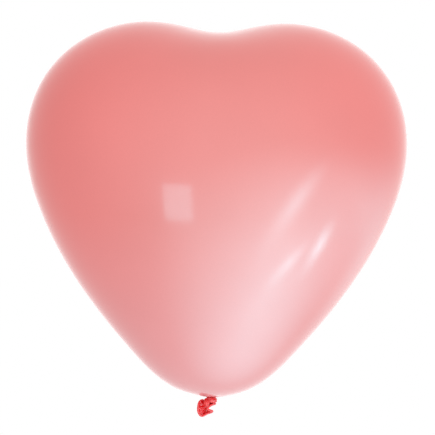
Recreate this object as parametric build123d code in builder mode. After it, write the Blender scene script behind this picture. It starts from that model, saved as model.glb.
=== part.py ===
from build123d import *
import os
from functools import lru_cache
from math import cos, pi, radians, sin, tan

# Heart-shaped latex balloon, blown up and tied in its own neck.
# Millimetres, +Z up, +X across the two lobes, -Y is the front.
# The origin is on the neck's axis, where the blown-up skin ends and the tie starts.
#
# A real balloon is one dipped moulding, so each node here is one region of it that has
# its own job: the envelope, the gathered pleats, the pinched neck, the loop of the knot,
# the end tucked through it, the flared tail and the rolled bead on the tail's mouth.

# ---- driving dimensions: envelope ----
HALF_WIDTH = 152.5      # across the lobes, at their widest
HALF_DEPTH = 88.0       # front to back, at the deepest
WIDEST_Z = 202.0
LOBE_X = 53.5           # a lobe's top, from the middle
LOBE_Z = 299.3
CLEFT_Z = 291.4         # the dip between the lobes
WALL = 0.5              # stands in for a skin of about 0.02 mm
MOUTH_R = 6.5           # hole in the bottom, filled by the gathered neck
MOUTH_Z = 0.3

# ---- driving dimensions: neck and knot ----
GATHER_DROP = 0.6       # how far the gathered pleats come down below the origin
GATHER_WALL = 0.5
GATHER_R = MOUTH_R - 0.1
PLEATS = 12
VALLEY_R = 0.5          # notch between two pleats
NECK_R = 1.9            # pinched neck where it leaves the pleats
WAIST_R = 1.4           # pinched neck inside the knot
TWIST_GAP = 0.2         # between the pleats and the neck, which can twist under them
KNOT_X = -1.0           # the loop sits a little to the left of the neck's axis
KNOT_Z = -3.5           # the knot tilts about the neck's end, at this height
RING_R = 2.6            # the loop's centre line
TUBE_R = 2.0            # half the thickness of the wound neck
TILT_ROOM = 0.35        # between the neck and its pocket in the knot
MAX_TILT = 10           # degrees
TUCK_X = -4.7
TUCK_Y = -2.3
TUCK_R = 2.0
TUCK_TOP_Z = -3.8
TUCK_END_Z = -7.0       # centre of the tucked end's round tip, where the tail bends

# ---- driving dimensions: tail ----
BEND_ROOM = 0.35        # round the tucked end's tip
SKIRT_WALL = 0.6
HEM_Y = 2.2             # plane of the flared mouth, behind the neck
BEAD_R = 0.75           # rolled bead on the mouth

# ---- mesh of the envelope's surface ----
ROWS = 48               # from the mouth to the cleft
COLUMNS = 32            # round half of the envelope
STEP = 0.002            # share of the outline, or radians, for the skin's normal

os.makedirs("parts", exist_ok=True)


def front_outline():
    """Half of the heart seen from the front, from the neck up over one lobe to the cleft."""
    with BuildLine(Plane.XZ) as line:
        Spline(
            (MOUTH_R, MOUTH_Z),
            (33, 8),
            (66, 36.5),
            (106, 85.5),
            (137, 139.5),
            (HALF_WIDTH, WIDEST_Z),
            (144, 243.5),
            (124, 272),
            (90, 293),
            (LOBE_X, LOBE_Z),
            (20, 294.5),
            (0, CLEFT_Z),
            tangents=((1, 0.08), (-1, 0)),
            tangent_scalars=(1, 1),
        )
    return line.edges()[0]


def side_outline():
    """Half of the balloon seen from the side, from the neck up to the cleft."""
    with BuildLine(Plane.XZ) as line:
        Spline(
            (MOUTH_R, MOUTH_Z),
            (25, 9),
            (46, 40),
            (68, 96),
            (84, 156),
            (HALF_DEPTH, 204),
            (76, 251),
            (50, 279),
            (0, CLEFT_Z),
            tangents=((1, 0.12), (-1, 0)),
            tangent_scalars=(1, 1),
        )
    return line.edges()[0]


FRONT = front_outline()
SIDE = side_outline()


@lru_cache(maxsize=None)
def skin_row(t):
    """Radii and heights of the two outlines at the same share t of their length."""
    front = FRONT.position_at(t, position_mode=PositionMode.PARAMETER)
    side = SIDE.position_at(t, position_mode=PositionMode.PARAMETER)
    return front.X, front.Z, side.X, side.Z


def skin_point(t, angle):
    """Point of the outer skin: the two outlines blended round the neck's axis."""
    wide, wide_z, deep, deep_z = skin_row(t)
    across = cos(angle) ** 2
    height = wide_z * across + deep_z * (1 - across)
    return Vector(wide * cos(angle), deep * sin(angle), height)


def skin_normal(t, angle):
    """Outward normal of the skin, from two short steps along it."""
    if t > 1 - STEP:
        return Vector(0, 0, 1)
    along = skin_point(t + STEP, angle) - skin_point(max(t - STEP, 0), angle)
    round_neck = skin_point(t, angle + STEP) - skin_point(t, angle - STEP)
    return round_neck.cross(along).normalized()


def skin_half(inset):
    """Front half of the skin as one face, moved inwards by inset."""
    rows = []
    for row in range(ROWS + 1):
        t = row / ROWS
        points = []
        for column in range(COLUMNS + 1):
            angle = -pi + pi * column / COLUMNS
            point = skin_point(t, angle) - skin_normal(t, angle) * inset
            if column in (0, COLUMNS):
                point.Y = 0
            points.append(point)
        rows.append(points)
    return Face.make_surface_from_array_of_points(
        rows, tol=0.001, smoothing=(1, 1, 1), max_deg=8
    )


def envelope_shell():
    """Outer and inner skin, joined by a narrow rim round the mouth."""
    outer = skin_half(0)
    inner = skin_half(WALL)
    rim = Face.make_surface_from_curves(
        outer.edges().sort_by(Axis.Z)[0],
        inner.edges().sort_by(Axis.Z)[0],
    )
    front = [outer, inner, rim]
    back = [face.mirror(Plane.XZ) for face in front]
    return Solid(Shell(front + back))


# ---- envelope ----
with BuildPart() as envelope:
    add(envelope_shell())
envelope.part.label = "envelope"
export_step(envelope.part, "parts/envelope.step")

# ---- gathered pleats: a shallow trumpet in the mouth, its rim notched between the pleats ----
THROAT_Z = -GATHER_DROP
with BuildPart() as neck_gather:
    with BuildSketch(Plane.XZ):
        Polygon(
            (0, THROAT_Z),
            (NECK_R, THROAT_Z),
            (GATHER_R, MOUTH_Z),
            (GATHER_R, MOUTH_Z + GATHER_WALL),
            (NECK_R, THROAT_Z + GATHER_WALL),
            (0, THROAT_Z + GATHER_WALL),
            align=None,
        )
    revolve(axis=Axis.Z)
    with BuildSketch(Plane.XY.offset(THROAT_Z - 1)):
        with PolarLocations(GATHER_R, PLEATS):
            Circle(VALLEY_R)
    extrude(amount=GATHER_DROP + MOUTH_Z + GATHER_WALL + 2, mode=Mode.SUBTRACT)
neck_gather.part.label = "neck_gather"
export_step(neck_gather.part, "parts/neck_gather.step")

# ---- pinched neck: a fluted stem that hangs from the pleats into the knot ----
STEM_TOP_Z = THROAT_Z - TWIST_GAP
STEM_WAIST_Z = KNOT_Z + TUBE_R
STEM_END_Z = KNOT_Z + 0.2
with BuildPart() as neck_stem:
    with BuildSketch(Plane.XZ):
        with BuildLine():
            Line((0, STEM_TOP_Z), (NECK_R, STEM_TOP_Z))
            Spline(
                (NECK_R, STEM_TOP_Z),
                (WAIST_R, STEM_WAIST_Z),
                tangents=((-1, -1), (0, -1)),
            )
            Line((WAIST_R, STEM_WAIST_Z), (WAIST_R, STEM_END_Z))
            Line((WAIST_R, STEM_END_Z), (0, STEM_END_Z))
            Line((0, STEM_END_Z), (0, STEM_TOP_Z))
        make_face()
    revolve(axis=Axis.Z)
    with BuildSketch(Plane.XY.offset(STEM_END_Z)):
        with PolarLocations(WAIST_R + 0.1, PLEATS // 2):
            Circle(0.25)
    extrude(amount=STEM_TOP_Z - STEM_END_Z, mode=Mode.SUBTRACT)
neck_stem.part.label = "neck_stem"
export_step(neck_stem.part, "parts/neck_stem.step")

# ---- tucked end: the strand that comes out of the loop, with round ends ----
with BuildPart() as knot_tuck:
    with Locations((TUCK_X, TUCK_Y, (TUCK_TOP_Z + TUCK_END_Z) / 2)):
        Cylinder(TUCK_R, TUCK_TOP_Z - TUCK_END_Z)
    with Locations((TUCK_X, TUCK_Y, TUCK_TOP_Z), (TUCK_X, TUCK_Y, TUCK_END_Z)):
        Sphere(TUCK_R)
knot_tuck.part.label = "knot_tuck"
export_step(knot_tuck.part, "parts/knot_tuck.step")

# ---- loop of the knot: the neck wound once round itself, with a pocket for the stem ----
POCKET_R = WAIST_R + TILT_ROOM
POCKET_FLOOR_Z = STEM_END_Z - TILT_ROOM - WAIST_R * sin(radians(MAX_TILT))
POCKET_TOP_Z = KNOT_Z + TUBE_R
POCKET_TOP_R = POCKET_R + TUBE_R * tan(radians(MAX_TILT)) + 0.05
with BuildPart() as knot_wrap:
    with BuildSketch(Plane.XZ):
        with Locations((KNOT_X + RING_R, KNOT_Z)):
            Circle(TUBE_R)
        with Locations((KNOT_X + RING_R / 2, KNOT_Z)):
            Rectangle(RING_R, 2 * TUBE_R - 0.6)
    revolve(axis=Axis((KNOT_X, 0, 0), (0, 0, 1)))
    with BuildSketch(Plane.XZ):
        Polygon(
            (0, POCKET_FLOOR_Z),
            (POCKET_R, POCKET_FLOOR_Z),
            (POCKET_TOP_R, POCKET_TOP_Z + 0.1),
            (0, POCKET_TOP_Z + 0.1),
            align=None,
        )
    revolve(axis=Axis.Z, mode=Mode.SUBTRACT)
    add(knot_tuck.part, mode=Mode.SUBTRACT)
knot_wrap.part.label = "knot_wrap"
export_step(knot_wrap.part, "parts/knot_wrap.step")

# ---- tail: a skirt that flares from the tucked end to the mouth's crumpled outline ----
TIP = Vector(TUCK_X, TUCK_Y, TUCK_END_Z)
FLARE = Vector(-0.1, 0.45, -0.89).normalized()
ROOT_DROP = 0.5         # from the middle of the tip to the skirt's upper edge
CUT_PAST = 0.3          # the hollow runs past both ends of the skirt


def root_plane(past):
    """Plane of the skirt's upper edge, or past it towards the neck."""
    origin = TIP + FLARE * (ROOT_DROP - past)
    return Plane(origin, x_dir=(-0.39, 0.8, 0.45), z_dir=-FLARE)


def hem_plane(past):
    """Plane of the mouth, or past it towards the back."""
    return Plane.XZ.offset(-HEM_Y - past)


HEM_POINTS = [
    (-7.0, -3.6),
    (-5.6, -7.0),
    (-2.0, -7.6),
    (0.2, -9.6),
    (-0.8, -12.2),
    (-4.0, -14.2),
    (-7.2, -15.6),
    (-10.2, -13.6),
    (-11.2, -9.4),
    (-10.0, -5.2),
]
HEM_MIDDLE = Vector(-5.6, -9.6)
HEM_HALF_SIZE = 6


def hem_points(inset):
    """The mouth's outline, drawn in towards its middle by about inset."""
    share = 1 - inset / HEM_HALF_SIZE
    return [HEM_MIDDLE + (Vector(*point) - HEM_MIDDLE) * share for point in HEM_POINTS]


with BuildPart() as tail_skirt:
    for inset, past, mode in ((0, 0, Mode.ADD), (SKIRT_WALL, CUT_PAST, Mode.SUBTRACT)):
        with BuildSketch(hem_plane(past)):
            with BuildLine():
                Spline(*hem_points(inset), periodic=True)
            make_face()
        with BuildSketch(root_plane(past)):
            Circle(TUCK_R + BEND_ROOM + SKIRT_WALL - inset)
        loft(mode=mode)
tail_skirt.part.label = "tail_skirt"
export_step(tail_skirt.part, "parts/tail_skirt.step")

# ---- rolled bead round the tail's mouth ----
with BuildPart() as rolled_lip:
    with BuildLine(hem_plane(0)) as hem:
        Spline(*HEM_POINTS, periodic=True)
    with BuildSketch(Plane(hem.line @ 0, z_dir=hem.line % 0)):
        Circle(BEAD_R)
    sweep()
rolled_lip.part.label = "rolled_lip"
export_step(rolled_lip.part, "parts/rolled_lip.step")
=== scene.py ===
from math import cos, pi, radians, sin, tau

import bpy
import numpy as np
from mathutils import Matrix, Vector


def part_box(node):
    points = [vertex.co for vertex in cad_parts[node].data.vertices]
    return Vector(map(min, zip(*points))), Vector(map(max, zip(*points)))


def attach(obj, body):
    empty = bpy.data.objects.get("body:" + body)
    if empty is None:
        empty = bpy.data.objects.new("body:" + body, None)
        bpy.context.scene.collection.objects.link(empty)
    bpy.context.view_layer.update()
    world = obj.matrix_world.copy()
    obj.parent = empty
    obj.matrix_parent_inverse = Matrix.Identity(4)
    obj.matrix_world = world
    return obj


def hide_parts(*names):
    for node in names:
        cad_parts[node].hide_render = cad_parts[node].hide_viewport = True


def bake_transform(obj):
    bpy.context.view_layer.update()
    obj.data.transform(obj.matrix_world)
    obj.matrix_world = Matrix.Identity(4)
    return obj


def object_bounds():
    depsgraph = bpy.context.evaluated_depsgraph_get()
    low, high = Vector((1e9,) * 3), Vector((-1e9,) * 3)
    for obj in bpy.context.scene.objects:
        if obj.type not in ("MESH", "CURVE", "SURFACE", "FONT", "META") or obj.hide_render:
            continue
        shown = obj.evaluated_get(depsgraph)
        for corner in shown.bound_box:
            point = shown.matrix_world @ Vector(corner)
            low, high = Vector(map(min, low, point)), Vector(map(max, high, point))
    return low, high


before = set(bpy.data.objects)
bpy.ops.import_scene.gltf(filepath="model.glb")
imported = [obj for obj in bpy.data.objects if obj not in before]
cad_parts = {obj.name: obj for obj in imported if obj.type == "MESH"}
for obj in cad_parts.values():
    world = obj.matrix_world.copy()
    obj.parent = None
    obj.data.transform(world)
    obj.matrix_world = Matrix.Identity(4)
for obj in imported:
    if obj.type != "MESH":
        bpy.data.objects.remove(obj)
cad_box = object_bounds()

# A heart-shaped latex balloon, tied in its own neck. Metres, +Z up, -Y is the front.
# The envelope's skin follows the same two outlines as the CAD model; the pleats, knot and
# tail are drawn as the crumpled latex that they are, where the CAD solids stand.

MM = 0.001

# ---- camera ----
CAMERA_DISTANCE = 1.6
CAMERA_AIM = Vector((0.0017, 0, 0.1433))
CAMERA_ROLL = radians(-0.95)
FOCAL_LENGTH = 165.5
SENSOR = 36

# ---- floor and light ----
FLOOR_DROP = 0.33                   # below the lowest point of the tail
FLOOR_RADIUS = 2.2
SIDE_LIGHT = 0.86
FRONT_LIGHT = 0.45                  # more from the front and from behind than from the sides
LIGHT_SLOPE = (0.12, 0.0, -0.03)    # a little brighter to the right and below
LIGHT_DISTANCE = 1.1                # from the skin to each lamp that it mirrors
LIGHT_TINT = (0.28, 1.0, 1.10)      # keeps the bright red channel of the skin from burning out

# ---- envelope, in millimetres as in the CAD model ----
FRONT_OUTLINE = [
    (6.5, 0.3),
    (33, 8),
    (66, 36.5),
    (106, 85.5),
    (137, 139.5),
    (152.5, 202),
    (144, 243.5),
    (124, 272),
    (90, 293),
    (53.5, 299.3),
    (20, 294.5),
    (0, 291.4),
]
SIDE_OUTLINE = [
    (6.5, 0.3),
    (25, 9),
    (46, 40),
    (68, 96),
    (84, 156),
    (88, 204),
    (76, 251),
    (50, 279),
    (0, 291.4),
]
FRONT_ENDS = [(1, 0.08), (-1, 0)]
SIDE_ENDS = [(1, 0.12), (-1, 0)]
MOUTH_R = 6.5
MOUTH_Z = 0.3
SKIN_ROWS = 170
SKIN_COLUMNS = 288
CROWDING = 1.7              # rows crowd towards the neck, where the pleats are

# ---- pleats round the neck, millimetres ----
PLEAT_REACH = 27            # radius at which the pleats have faded out
PLEAT_DEPTH = 0.42
GATHER_ROWS = 36
GATHER_PROFILE = [(MOUTH_R, MOUTH_Z), (4.6, 0.15), (3.0, -0.25), (2.1, -1.2), (1.8, -2.6)]
GATHER_ENDS = [(-1, -0.1), (0, -1)]
GATHER_RELIEF = [0.5, 0.5, 0.2]     # at the skin, past the middle and at the neck

# ---- pinched neck and knot, millimetres ----
NECK_R = 1.75
NECK_TAPER = 0.4
KNOT_RAISE = 0.90           # the soft loop is pulled up against the pleats
RING_WIDE_R = 2.65          # the loop's centre line, to the sides
RING_DEEP_R = 2.45          # and to the front and back
RING_TILT = 0.08            # the loop is lower on its right
TUBE_R = 1.95
STRAND_POINTS = [
    (-3.4, -0.4, -2.9),
    (-4.7, -1.8, -2.7),
    (-4.6, -2.8, -3.9),
    (-4.5, -2.7, -5.4),
    (-4.7, -2.3, -6.8),
    (-4.8, -1.9, -8.2),
]
STRAND_ENDS = [(-0.8, -0.6, 0.2), (0, 0.2, -1)]
STRAND_RADII = [1.1, 1.45, 2.1, 2.2, 1.65, 1.1]

# ---- tail, millimetres ----
HEM_POINTS = [
    (-7.9, 0.6, -3.1),
    (-10.1, -0.5, -4.2),
    (-11.2, -1.2, -7.4),
    (-11.2, -1.3, -11.2),
    (-10.2, -0.8, -14.2),
    (-8.4, -0.2, -15.6),
    (-5.6, 0.2, -14.6),
    (-3.2, 0.4, -13.3),
    (-0.9, 0.9, -12.7),
    (0.1, 0.4, -11.9),
    (-1.4, -0.5, -11.2),
    (-3.1, -0.9, -10.5),
    (-3.6, -1.0, -9.4),
    (-2.3, -1.3, -7.6),
    (0.2, -1.1, -6.3),
    (2.1, 0.2, -5.6),
    (0.9, 1.6, -5.1),
    (-2.2, 2.2, -4.9),
    (-5.6, 2.6, -4.9),
]
WAIST = Vector((-4.75, -2.25, -6.6))
WAIST_R = 1.5
FLARE = Vector((-0.1, 0.7, -0.7)).normalized()
FLARE_PULL = 7              # how strongly the skirt leaves the waist along FLARE
SPREAD_PULL = 0.8           # how strongly it reaches its rim outwards
CURL = np.array([0, -9.0, 0])       # the skirt comes forward again to its rim
FORWARD = np.array([0, -0.9, 0])    # the way the skirt's folds stand out
FOLD_DEPTH = 0.75
FIRST_ANGLE = radians(125)  # round the waist, where the hem's first point belongs
HEM_ROWS = 220
SKIRT_ROWS = 34
SKIRT_WALL = 0.28
BEAD_R = 0.84
ARMS_AT = 0.63              # share of the hem where its two arms meet, and the bead is fuller
ARMS_REACH = 0.14

# ---- colours, as linear light, and where they change, in millimetres ----
# Partly painted light: the pale pink low down stands in for light from below; the deeper coral at
# the top is the less stretched latex.
TOP_CORAL = (0.845, 0.210, 0.192)
MIDDLE_CORAL = (0.80, 0.225, 0.212)
LIT_LOW_PINK = (0.83, 0.355, 0.370)
SIDE_SHADE_TINT = (1.0, 0.78, 0.78)       # painted shade: the colour is deeper towards the sides, most on the left
PALEST_X = 20
GATHER_RED = (0.80, 0.080, 0.090)
GATHER_FADE = (12, 4.5)             # distance from the neck where this red starts, and is full
GATHER_WANDER = 5                   # how unevenly it ends
DEEP_RED = (0.84, 0.028, 0.030)
DARK_RED = (0.74, 0.012, 0.016)
BRIGHT_RED = (0.90, 0.050, 0.045)
SHADE_RED = (0.66, 0.004, 0.012)
SHADE_FADE = (-1.2, 2.5)             # painted shade: from front to back, where the knot and tail get this deeper red, standing in for the shade in the skirt's hollow
POWDER = (0.86, 0.42, 0.42)


def smooth_curve(points, ends=None):
    """Function from shares 0 to 1 to points of a smooth curve through points.

    ends are the directions at the two ends; without them the curve closes on itself.
    """
    points = np.array(points, float)
    closed = ends is None
    if closed:
        points = np.vstack([points, points[:1]])
    count = len(points)
    steps = np.linalg.norm(np.diff(points, axis=0), axis=1)
    chords = np.diff(points, axis=0) / steps[:, None]
    knots = np.concatenate([[0], np.cumsum(steps)])
    system = np.zeros((count, count))
    known = np.zeros_like(points)
    for i in range(0 if closed else 1, count - 1):
        before, after = steps[i - 1], steps[i]
        system[i, i - 1 if i else count - 2] = after
        system[i, i] = 2 * (before + after)
        system[i, i + 1] = before
        known[i] = 3 * (after * chords[i - 1] + before * chords[i])
    system[-1, -1] = 1
    if closed:
        system[-1, 0] = -1
    else:
        system[0, 0] = 1
        known[0], known[-1] = ends
    slopes = np.linalg.solve(system, known)

    def at(shares):
        place = np.asarray(shares, float) * knots[-1]
        i = np.clip(np.searchsorted(knots, place, side="right") - 1, 0, count - 2)
        length = steps[i][:, None]
        s = ((place - knots[i]) / steps[i])[:, None]
        return (
            points[i] * (1 + 2 * s) * (1 - s) ** 2
            + points[i + 1] * (3 - 2 * s) * s**2
            + slopes[i] * length * s * (1 - s) ** 2
            + slopes[i + 1] * length * (s - 1) * s**2
        )

    return at


def grid_piece(name, points, loop=False, cap_first=False, cap_last=False):
    """Mesh object from rows of points in millimetres; each row closes on itself."""
    rows, columns = points.shape[:2]
    verts = (points.reshape(-1, 3) * MM).tolist()
    faces = []
    for row in range(rows if loop else rows - 1):
        below = row * columns
        above = (row + 1) % rows * columns
        for column in range(columns):
            after = (column + 1) % columns
            faces.append((below + column, below + after, above + after, above + column))
    for wanted, start in ((cap_first, 0), (cap_last, (rows - 1) * columns)):
        if wanted:
            middle = len(verts)
            verts.append((points[start // columns].mean(axis=0) * MM).tolist())
            for column in range(columns):
                after = (column + 1) % columns
                ring = (start + column, start + after)
                faces.append((*(ring if start else ring[::-1]), middle))
    mesh = bpy.data.meshes.new(name)
    mesh.from_pydata(verts, [], faces)
    mesh.validate()
    mesh.shade_smooth()
    piece = bpy.data.objects.new(name, mesh)
    bpy.context.collection.objects.link(piece)
    return piece


def sweep(path, across, columns, section, closed=False):
    """Rows of points round a path. section gives the radius for (share, angle) arrays."""
    rows = len(path)
    if closed:
        ahead = np.roll(path, -1, axis=0) - np.roll(path, 1, axis=0)
    else:
        ahead = np.gradient(path, axis=0)
    ahead /= np.linalg.norm(ahead, axis=1)[:, None]
    side = np.cross(np.array(across, float), ahead)
    side /= np.linalg.norm(side, axis=1)[:, None]
    up = np.cross(ahead, side)
    share = np.arange(rows)[:, None] / (rows if closed else rows - 1)
    angle = np.arange(columns)[None, :] * tau / columns
    radius = section(share, angle)[:, :, None]
    direction = (
        side[:, None, :] * np.cos(angle)[:, :, None] + up[:, None, :] * np.sin(angle)[:, :, None]
    )
    return path[:, None, :] + radius * direction


# ---- shapes ----
def pleat_wave(angle):
    """Uneven pleats round the neck, from -1 to 1."""
    return (
        0.50 * np.cos(14 * angle + 0.4)
        + 0.30 * np.cos(9 * angle + 2.3)
        + 0.20 * np.cos(23 * angle + 5.1)
    )


def skin_grid():
    """The envelope's outer skin, from the neck up to the dip between the lobes."""
    share = (np.arange(SKIN_ROWS) / SKIN_ROWS) ** CROWDING
    angle = np.arange(SKIN_COLUMNS) * tau / SKIN_COLUMNS
    front = smooth_curve(FRONT_OUTLINE, FRONT_ENDS)(share)
    side = smooth_curve(SIDE_OUTLINE, SIDE_ENDS)(share)
    across = np.cos(angle) ** 2
    x = np.outer(front[:, 0], np.cos(angle))
    y = np.outer(side[:, 0], np.sin(angle))
    z = np.outer(front[:, 1], across) + np.outer(side[:, 1], 1 - across)
    radius = np.hypot(x, y)
    near = np.clip((PLEAT_REACH - radius) / (PLEAT_REACH - MOUTH_R), 0, 1)
    z = z - PLEAT_DEPTH * near**2.5 * pleat_wave(angle) * (z < PLEAT_REACH)
    return np.stack([x, y, z], axis=2)


def make_skin():
    skin = grid_piece("latex_envelope", skin_grid(), cap_last=True)
    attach(skin, "balloon")
    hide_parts("envelope")
    return skin


def make_pleats():
    """Pleated throat between the skin and the neck, which turns with the neck below."""
    profile = smooth_curve(GATHER_PROFILE, GATHER_ENDS)
    share = np.arange(GATHER_ROWS + 1) / GATHER_ROWS
    place = profile(share)
    angle = np.arange(SKIN_COLUMNS) * tau / SKIN_COLUMNS
    wave = pleat_wave(angle)
    turned = np.sin(share * pi / 2)     # the pleats stand down at the skin, and out at the neck
    relief = turned * np.interp(share, [0, 0.6, 1], GATHER_RELIEF)
    radius = place[:, :1] + np.outer(relief, wave)
    height = place[:, 1:] - np.outer(PLEAT_DEPTH * (1 - turned), wave)
    points = np.stack([radius * np.cos(angle), radius * np.sin(angle), height], axis=2)
    pleats = grid_piece("throat_pleats", points[::-1])
    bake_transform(pleats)
    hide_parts("neck_gather")
    return pleats


def make_neck():
    """Pinched neck inside the knot."""
    low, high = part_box("neck_stem")
    heights = np.linspace(high[2] / MM, low[2] / MM, 24)
    path = np.stack([0 * heights, 0 * heights, heights], axis=1)

    def section(share, angle):
        return NECK_R - NECK_TAPER * share + 0.16 * np.cos(7 * angle + 2 * share)

    points = sweep(path, (1, 0, 0), 96, section)
    neck = grid_piece("pinched_neck", points, cap_first=True, cap_last=True)
    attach(neck, "neck")
    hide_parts("neck_stem")
    return neck


def make_loop():
    """The neck wound once round itself: a fat, wrinkled, slightly tilted loop."""
    low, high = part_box("knot_wrap")
    middle = (Vector(low) + Vector(high)) / 2 / MM
    turn = np.arange(240) * tau / 240
    path = np.stack(
        [
            middle.x + RING_WIDE_R * np.cos(turn),
            middle.y + RING_DEEP_R * np.sin(turn),
            middle.z + KNOT_RAISE - RING_TILT * RING_WIDE_R * np.cos(turn),
        ],
        axis=1,
    )

    def section(share, angle):
        turn = share * tau
        size = TUBE_R + 0.12 * np.cos(turn) + 0.08 * np.cos(3 * turn + 1)
        folds = 0.06 * np.cos(7 * angle + 2 * turn) + 0.03 * np.cos(13 * angle - 3 * turn + 1.2)
        creases = 0.012 * np.cos(11 * turn + 2 * np.cos(angle))
        upright = 1 + 0.14 * np.sin(angle) ** 2
        return size * upright * (1 + folds + creases)

    points = sweep(path, (0, 0, 1), 120, section, closed=True)
    loop = grid_piece("knot_loop", points, loop=True)
    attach(loop, "knot")
    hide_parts("knot_wrap")
    return loop


def make_strand():
    """The end of the neck, tucked through the loop and hanging out of it."""
    share = np.arange(61) / 60
    path = smooth_curve(STRAND_POINTS, STRAND_ENDS)(share)

    def section(share, angle):
        size = np.interp(share, np.linspace(0, 1, len(STRAND_RADII)), STRAND_RADII)
        folds = 0.09 * np.cos(6 * angle + 3 * share) + 0.05 * np.cos(11 * angle - 5 * share + 1)
        wrinkles = 0.025 * np.sin(26 * share + 2 * np.cos(angle))
        return size * (1 + folds + wrinkles)

    points = sweep(path, (0, 1, 0.3), 96, section)
    strand = grid_piece("tucked_strand", points, cap_first=True, cap_last=True)
    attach(strand, "knot")
    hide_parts("knot_tuck")
    return strand


def make_skirt():
    """The flared, crumpled end of the neck, from the strand to the rolled bead."""
    share = np.arange(HEM_ROWS) / HEM_ROWS
    hem = smooth_curve(HEM_POINTS)(share)
    angle = FIRST_ANGLE + share * tau
    flare = np.array(FLARE)
    right = np.cross(flare, (0, 0, 1.0))
    right /= -np.linalg.norm(right)
    back = np.cross(right, flare)
    back *= np.sign(back[1])
    out = np.outer(np.cos(angle), right) + np.outer(np.sin(angle), back)
    waist = np.array(WAIST) + WAIST_R * (1 + 0.08 * np.cos(7 * angle))[:, None] * out
    middle = hem.mean(axis=0)
    spread = hem - middle
    rows = []
    for row in range(SKIRT_ROWS + 1):
        s = row / SKIRT_ROWS
        point = (
            waist * (1 + 2 * s) * (1 - s) ** 2
            + hem * (3 - 2 * s) * s**2
            + flare * FLARE_PULL * s * (1 - s) ** 2
            + (spread * SPREAD_PULL + CURL) * (s - 1) * s**2
        )
        folds = 0.6 - 1.6 * np.abs(np.sin(4.5 * angle + 1.4 * s)) + 0.4 * np.cos(14 * angle - 2 * s)
        depth = FOLD_DEPTH * sin(pi * s)
        point = point + (0.3 * out + FORWARD) * (depth * folds)[:, None]
        rows.append(point)
    skirt = grid_piece("flared_tail", np.array(rows)[::-1])
    wall = skirt.modifiers.new("wall", "SOLIDIFY")
    wall.thickness = SKIRT_WALL * MM
    wall.offset = 0
    with bpy.context.temp_override(object=skirt, active_object=skirt):
        bpy.ops.object.modifier_apply(modifier=wall.name)
    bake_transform(skirt)
    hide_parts("tail_skirt")
    return skirt


def make_bead():
    """Rolled bead round the mouth of the tail."""
    share = np.arange(HEM_ROWS) / HEM_ROWS
    hem = smooth_curve(HEM_POINTS)(share)

    def section(share, angle):
        turn = share * tau
        arms = 0.22 * np.exp(-(((share - ARMS_AT) / ARMS_REACH) ** 2))
        return BEAD_R * (1 + arms + 0.06 * np.cos(5 * turn) + 0.05 * np.cos(31 * turn + angle))

    points = sweep(hem, (0, 1, 0), 32, section, closed=True)
    bead = grid_piece("rolled_bead", points, loop=True)
    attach(bead, "tail")
    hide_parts("rolled_lip")
    return bead


# ---- materials ----
def new_material(name):
    material = bpy.data.materials.new(name)
    material.use_nodes = True
    nodes, links = material.node_tree.nodes, material.node_tree.links
    nodes.clear()
    shader = nodes.new("ShaderNodeBsdfPrincipled")
    output = nodes.new("ShaderNodeOutputMaterial")
    links.new(shader.outputs["BSDF"], output.inputs["Surface"])
    place = nodes.new("ShaderNodeTexCoord").outputs["Object"]
    return material, nodes, links, shader, place


def noise(nodes, links, place, scale, detail=3.0):
    texture = nodes.new("ShaderNodeTexNoise")
    texture.inputs["Scale"].default_value = scale
    texture.inputs["Detail"].default_value = detail
    links.new(place, texture.inputs["Vector"])
    return texture.outputs["Fac"]


def ramp(nodes, links, value, stops):
    """Colour ramp from (position, colour) pairs; a bare number is a grey."""
    node = nodes.new("ShaderNodeValToRGB")
    elements = node.color_ramp.elements
    while len(elements) < len(stops):
        elements.new(0.5)
    for element, (position, colour) in zip(elements, stops):
        element.position = position
        element.color = (*colour, 1) if isinstance(colour, tuple) else (colour,) * 3 + (1,)
    links.new(value, node.inputs["Fac"])
    return node.outputs["Color"]


def scaled(nodes, links, value, low, high):
    """value mapped from low..high to 0..1."""
    node = nodes.new("ShaderNodeMapRange")
    node.inputs["From Min"].default_value = low
    node.inputs["From Max"].default_value = high
    links.new(value, node.inputs["Value"])
    return node.outputs["Result"]


def mixed(nodes, links, share, a, b, how="MIX"):
    node = nodes.new("ShaderNodeMix")
    node.data_type = "RGBA"
    node.blend_type = how
    for socket, value in ((node.inputs["Factor"], share), (node.inputs[6], a), (node.inputs[7], b)):
        if isinstance(value, bpy.types.NodeSocket):
            links.new(value, socket)
        else:
            socket.default_value = value if isinstance(value, float) else (*value, 1)
    return node.outputs[2]


def bump(nodes, links, shader, heights):
    """Chain of bumps, each (height socket, depth in metres)."""
    normal = None
    for height, depth in heights:
        node = nodes.new("ShaderNodeBump")
        node.inputs["Distance"].default_value = depth
        links.new(height, node.inputs["Height"])
        if normal:
            links.new(normal, node.inputs["Normal"])
        normal = node.outputs["Normal"]
    links.new(normal, shader.inputs["Normal"])


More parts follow.
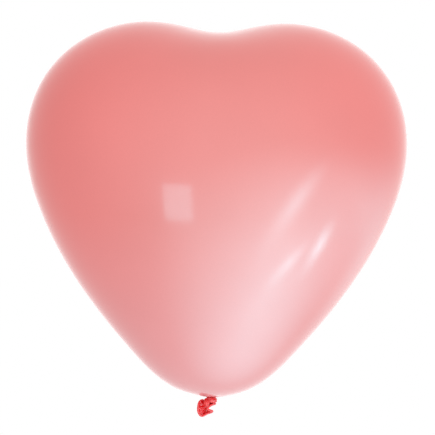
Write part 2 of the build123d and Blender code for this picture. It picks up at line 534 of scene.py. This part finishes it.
def stretched_latex():
    """Blown-up skin: coral, paler towards the bottom partly as painted light, deeper towards the
    sides as painted shade, deep red where it is gathered.
    """
    material, nodes, links, shader, place = new_material("stretched latex")
    split = nodes.new("ShaderNodeSeparateXYZ")
    links.new(place, split.inputs[0])
    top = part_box("envelope")[1][2]
    height = scaled(nodes, links, split.outputs["Z"], 0, top)
    # Partly painted light: paler towards the bottom, as if lit from below.
    colour = ramp(nodes, links, height, [(0.0, LIT_LOW_PINK), (0.48, MIDDLE_CORAL), (1.0, TOP_CORAL)])
    # Painted shade: the skin darker towards its sides and more so on the left, palest right of the
    # middle.
    side_shade_mask = node_value(
        nodes, links, "ShaderNodeMath", "SUBTRACT", split.outputs["X"], PALEST_X * MM
    )
    side_shade_mask = node_value(nodes, links, "ShaderNodeMath", "ABSOLUTE", side_shade_mask)
    side_shade_mask = scaled(nodes, links, side_shade_mask, 30 * MM, 170 * MM)
    deeper = ramp(nodes, links, side_shade_mask, [(0.0, 1.0), (1.0, SIDE_SHADE_TINT)])
    colour = mixed(nodes, links, 1.0, colour, deeper, "MULTIPLY")
    cloud = ramp(nodes, links, noise(nodes, links, place, 9.0), [(0.3, 0.94), (0.7, 1.0)])
    colour = mixed(nodes, links, 1.0, colour, cloud, "MULTIPLY")
    grain = ramp(nodes, links, noise(nodes, links, place, 900.0, 2.0), [(0.3, 0.975), (0.7, 1.0)])
    colour = mixed(nodes, links, 1.0, colour, grain, "MULTIPLY")
    length = nodes.new("ShaderNodeVectorMath")
    length.operation = "LENGTH"
    links.new(place, length.inputs[0])
    uneven = noise(nodes, links, place, 260.0, 2.0)
    wander = node_value(nodes, links, "ShaderNodeMath", "MULTIPLY", uneven, GATHER_WANDER * MM)
    reach = node_value(nodes, links, "ShaderNodeMath", "ADD", length.outputs["Value"], wander)
    near_neck = scaled(nodes, links, reach, GATHER_FADE[0] * MM, GATHER_FADE[1] * MM)
    colour = mixed(nodes, links, near_neck, colour, GATHER_RED)
    links.new(colour, shader.inputs["Base Color"])
    rough = ramp(nodes, links, noise(nodes, links, place, 60.0), [(0.3, 0.30), (0.7, 0.38)])
    links.new(rough, shader.inputs["Roughness"])
    shader.inputs["IOR"].default_value = 1.52
    shader.inputs["Coat Weight"].default_value = 1.0
    shader.inputs["Coat Roughness"].default_value = 0.105
    bump(
        nodes,
        links,
        shader,
        [
            (noise(nodes, links, place, 1500.0, 2.0), 0.004 * MM),
            (noise(nodes, links, place, 14.0, 1.0), 0.5 * MM),
        ],
    )
    return material


def neck_latex():
    """Unstretched latex: deep red, semi-gloss, finely wrinkled, with a little powder, and painted
    shade deepening it towards the back.
    """
    material, nodes, links, shader, place = new_material("unstretched latex")
    tone_and_shade = ramp(
        nodes,
        links,
        noise(nodes, links, place, 350.0, 4.0),
        [(0.30, DARK_RED), (0.55, DEEP_RED), (0.75, BRIGHT_RED)],
    )
    split = nodes.new("ShaderNodeSeparateXYZ")
    links.new(place, split.inputs[0])
    # Painted shade: deeper red towards the back, in place of the shade inside the skirt and between
    # the strand and the rim.
    painted_shade_back = scaled(nodes, links, split.outputs["Y"], SHADE_FADE[0] * MM, SHADE_FADE[1] * MM)
    tone_and_shade = mixed(nodes, links, painted_shade_back, tone_and_shade, SHADE_RED)
    dust = noise(nodes, links, place, 2600.0, 2.0)
    powder = ramp(nodes, links, dust, [(0.60, 0.0), (0.80, 0.05)])
    colour = mixed(nodes, links, powder, tone_and_shade, POWDER)
    links.new(colour, shader.inputs["Base Color"])
    rough = ramp(nodes, links, noise(nodes, links, place, 700.0), [(0.3, 0.36), (0.7, 0.44)])
    links.new(rough, shader.inputs["Roughness"])
    shader.inputs["IOR"].default_value = 1.52
    shader.inputs["Subsurface Weight"].default_value = 0.5
    shader.inputs["Subsurface Radius"].default_value = (1.0, 0.12, 0.12)
    shader.inputs["Subsurface Scale"].default_value = 1.5 * MM
    shader.inputs["Coat Weight"].default_value = 0.30
    shader.inputs["Coat Roughness"].default_value = 0.22
    stretch = nodes.new("ShaderNodeMapping")
    stretch.inputs["Scale"].default_value = (1.0, 1.0, 0.35)
    links.new(place, stretch.inputs["Vector"])
    bump(
        nodes,
        links,
        shader,
        [
            (noise(nodes, links, stretch.outputs["Vector"], 900.0, 2.0), 0.012 * MM),
            (noise(nodes, links, place, 5200.0, 2.0), 0.001 * MM),
        ],
    )
    return material


def floor_material():
    material, nodes, links, shader, place = new_material("pale floor")
    tone = ramp(nodes, links, noise(nodes, links, place, 3.0), [(0.3, 0.88), (0.7, 0.92)])
    links.new(tone, shader.inputs["Base Color"])
    shader.inputs["Roughness"].default_value = 0.9
    shader.inputs["Specular IOR Level"].default_value = 0.0
    return material


# ---- studio ----
def make_camera():
    data = bpy.data.cameras.new("camera")
    data.lens = FOCAL_LENGTH
    data.sensor_width = SENSOR
    camera = bpy.data.objects.new("camera", data)
    camera.location = CAMERA_AIM - Vector((0, CAMERA_DISTANCE, 0))
    camera.rotation_euler = (pi / 2, CAMERA_ROLL, 0)
    bpy.context.collection.objects.link(camera)
    bpy.context.scene.camera = camera
    return camera


def make_floor():
    ring = [(FLOOR_RADIUS * cos(a), FLOOR_RADIUS * sin(a)) for a in np.linspace(0, tau, 96, False)]
    drop = cad_box[0][2] - FLOOR_DROP
    mesh = bpy.data.meshes.new("floor")
    mesh.from_pydata([(x, y, drop) for x, y in ring], [], [tuple(range(len(ring)))])
    floor = bpy.data.objects.new("floor", mesh)
    bpy.context.collection.objects.link(floor)
    floor.data.materials.append(floor_material())
    floor.visible_diffuse = False
    floor.visible_glossy = False
    floor.visible_shadow = False


def node_value(nodes, links, kind, operation, *values):
    """Output of a Math or VectorMath node."""
    node = nodes.new(kind)
    node.operation = operation
    for socket, value in zip(node.inputs, values):
        if isinstance(value, bpy.types.NodeSocket):
            links.new(value, socket)
        else:
            socket.default_value = value
    return node.outputs["Value"]


def make_world():
    """White studio: the camera sees plain white, and the light is a little uneven around."""
    world = bpy.data.worlds.new("studio")
    bpy.context.scene.world = world
    world.use_nodes = True
    nodes, links = world.node_tree.nodes, world.node_tree.links
    nodes.clear()
    way = nodes.new("ShaderNodeTexCoord").outputs["Generated"]
    slope = node_value(nodes, links, "ShaderNodeVectorMath", "DOT_PRODUCT", way, LIGHT_SLOPE)
    depth = node_value(nodes, links, "ShaderNodeVectorMath", "DOT_PRODUCT", way, (0, 1, 0))
    squared = node_value(nodes, links, "ShaderNodeMath", "MULTIPLY", depth, depth)
    front = node_value(nodes, links, "ShaderNodeMath", "MULTIPLY", squared, FRONT_LIGHT)
    level = node_value(nodes, links, "ShaderNodeMath", "ADD", slope, SIDE_LIGHT)
    light = node_value(nodes, links, "ShaderNodeMath", "ADD", level, front)
    shown = nodes.new("ShaderNodeMix")
    links.new(nodes.new("ShaderNodeLightPath").outputs["Is Camera Ray"], shown.inputs["Factor"])
    links.new(light, shown.inputs["A"])
    shown.inputs["B"].default_value = 1.0
    background = nodes.new("ShaderNodeBackground")
    background.inputs["Color"].default_value = (1, 1, 1, 1)
    links.new(shown.outputs["Result"], background.inputs["Strength"])
    output = nodes.new("ShaderNodeOutputWorld")
    links.new(background.outputs[0], output.inputs["Surface"])


def reflected(skin, camera, x, z):
    """Where on the skin the camera sees the place (x, z), and which way its mirror looks."""
    eye = camera.location
    way = (Vector((x, 0, z)) - eye).normalized()
    _, place, normal, _ = skin.ray_cast(eye, way)
    return place, way.reflect(normal)


def soften(data):
    """Fades an area light out from its middle to its edges."""
    data.use_nodes = True
    nodes, links = data.node_tree.nodes, data.node_tree.links
    place = nodes.new("ShaderNodeNewGeometry").outputs["Parametric"]
    centred = nodes.new("ShaderNodeMapping")
    centred.inputs["Location"].default_value = (-1, -1, 0)
    centred.inputs["Scale"].default_value = (2, 2, 0)
    links.new(place, centred.inputs["Vector"])
    ball = nodes.new("ShaderNodeTexGradient")
    ball.gradient_type = "QUADRATIC_SPHERE"
    links.new(centred.outputs["Vector"], ball.inputs["Vector"])
    links.new(ball.outputs["Fac"], nodes["Emission"].inputs["Strength"])


def add_light(name, skin, camera, spots, width, radiance, soft=False):
    """Area light whose reflection runs along the skin from the first spot to the last."""
    seen = [reflected(skin, camera, x, z) for x, z in spots]
    ends = [place + way * LIGHT_DISTANCE for place, way in seen]
    middle = (ends[0] + ends[-1]) / 2
    lit = (seen[0][0] + seen[-1][0]) / 2
    away = (middle - lit).normalized()
    along = ends[-1] - ends[0]
    along -= along.dot(away) * away
    length = along.length
    along.normalize()
    data = bpy.data.lights.new(name, "AREA")
    data.shape = "ELLIPSE" if soft else "RECTANGLE"
    data.size = length
    data.size_y = width
    data.energy = radiance * pi * length * width
    light = bpy.data.objects.new(name, data)
    axes = Matrix((along, away.cross(along), away)).transposed().to_4x4()
    light.matrix_world = Matrix.Translation(middle) @ axes
    data.color = LIGHT_TINT
    light.visible_camera = False
    light.visible_diffuse = False
    bpy.context.collection.objects.link(light)
    if soft:
        soften(data)


def make_lights(skin, camera):
    bpy.context.view_layer.update()
    add_light("window", skin, camera, [(-0.041, 0.156), (-0.019, 0.156)], 0.235, 3.1)
    add_light("streak_high", skin, camera, [(0.094, 0.197), (0.024, 0.096)], 0.28, 4.4, soft=True)
    add_light("streak_low", skin, camera, [(0.083, 0.132), (0.034, 0.084)], 0.16, 5.5, soft=True)
    add_light("streak_side", skin, camera, [(0.100, 0.148), (0.065, 0.093)], 0.28, 8.0, soft=True)
    add_light("glow", skin, camera, [(0.108, 0.205), (-0.022, 0.022)], 2.0, 3.4, soft=True)
    add_light("sheen_right", skin, camera, [(0.136, 0.205), (0.064, 0.062)], 3.0, 1.9, soft=True)


# ---- the whole scene ----
scene = bpy.context.scene
scene.view_settings.view_transform = "Standard"
camera = make_camera()
skin = make_skin()
pleats = make_pleats()
others = [make_neck(), make_loop(), make_strand(), make_skirt(), make_bead()]
blown_up = stretched_latex()
for piece in (skin, pleats):
    piece.data.materials.append(blown_up)
tied = neck_latex()
for piece in others:
    piece.data.materials.append(tied)
make_floor()
make_world()
make_lights(skin, camera)
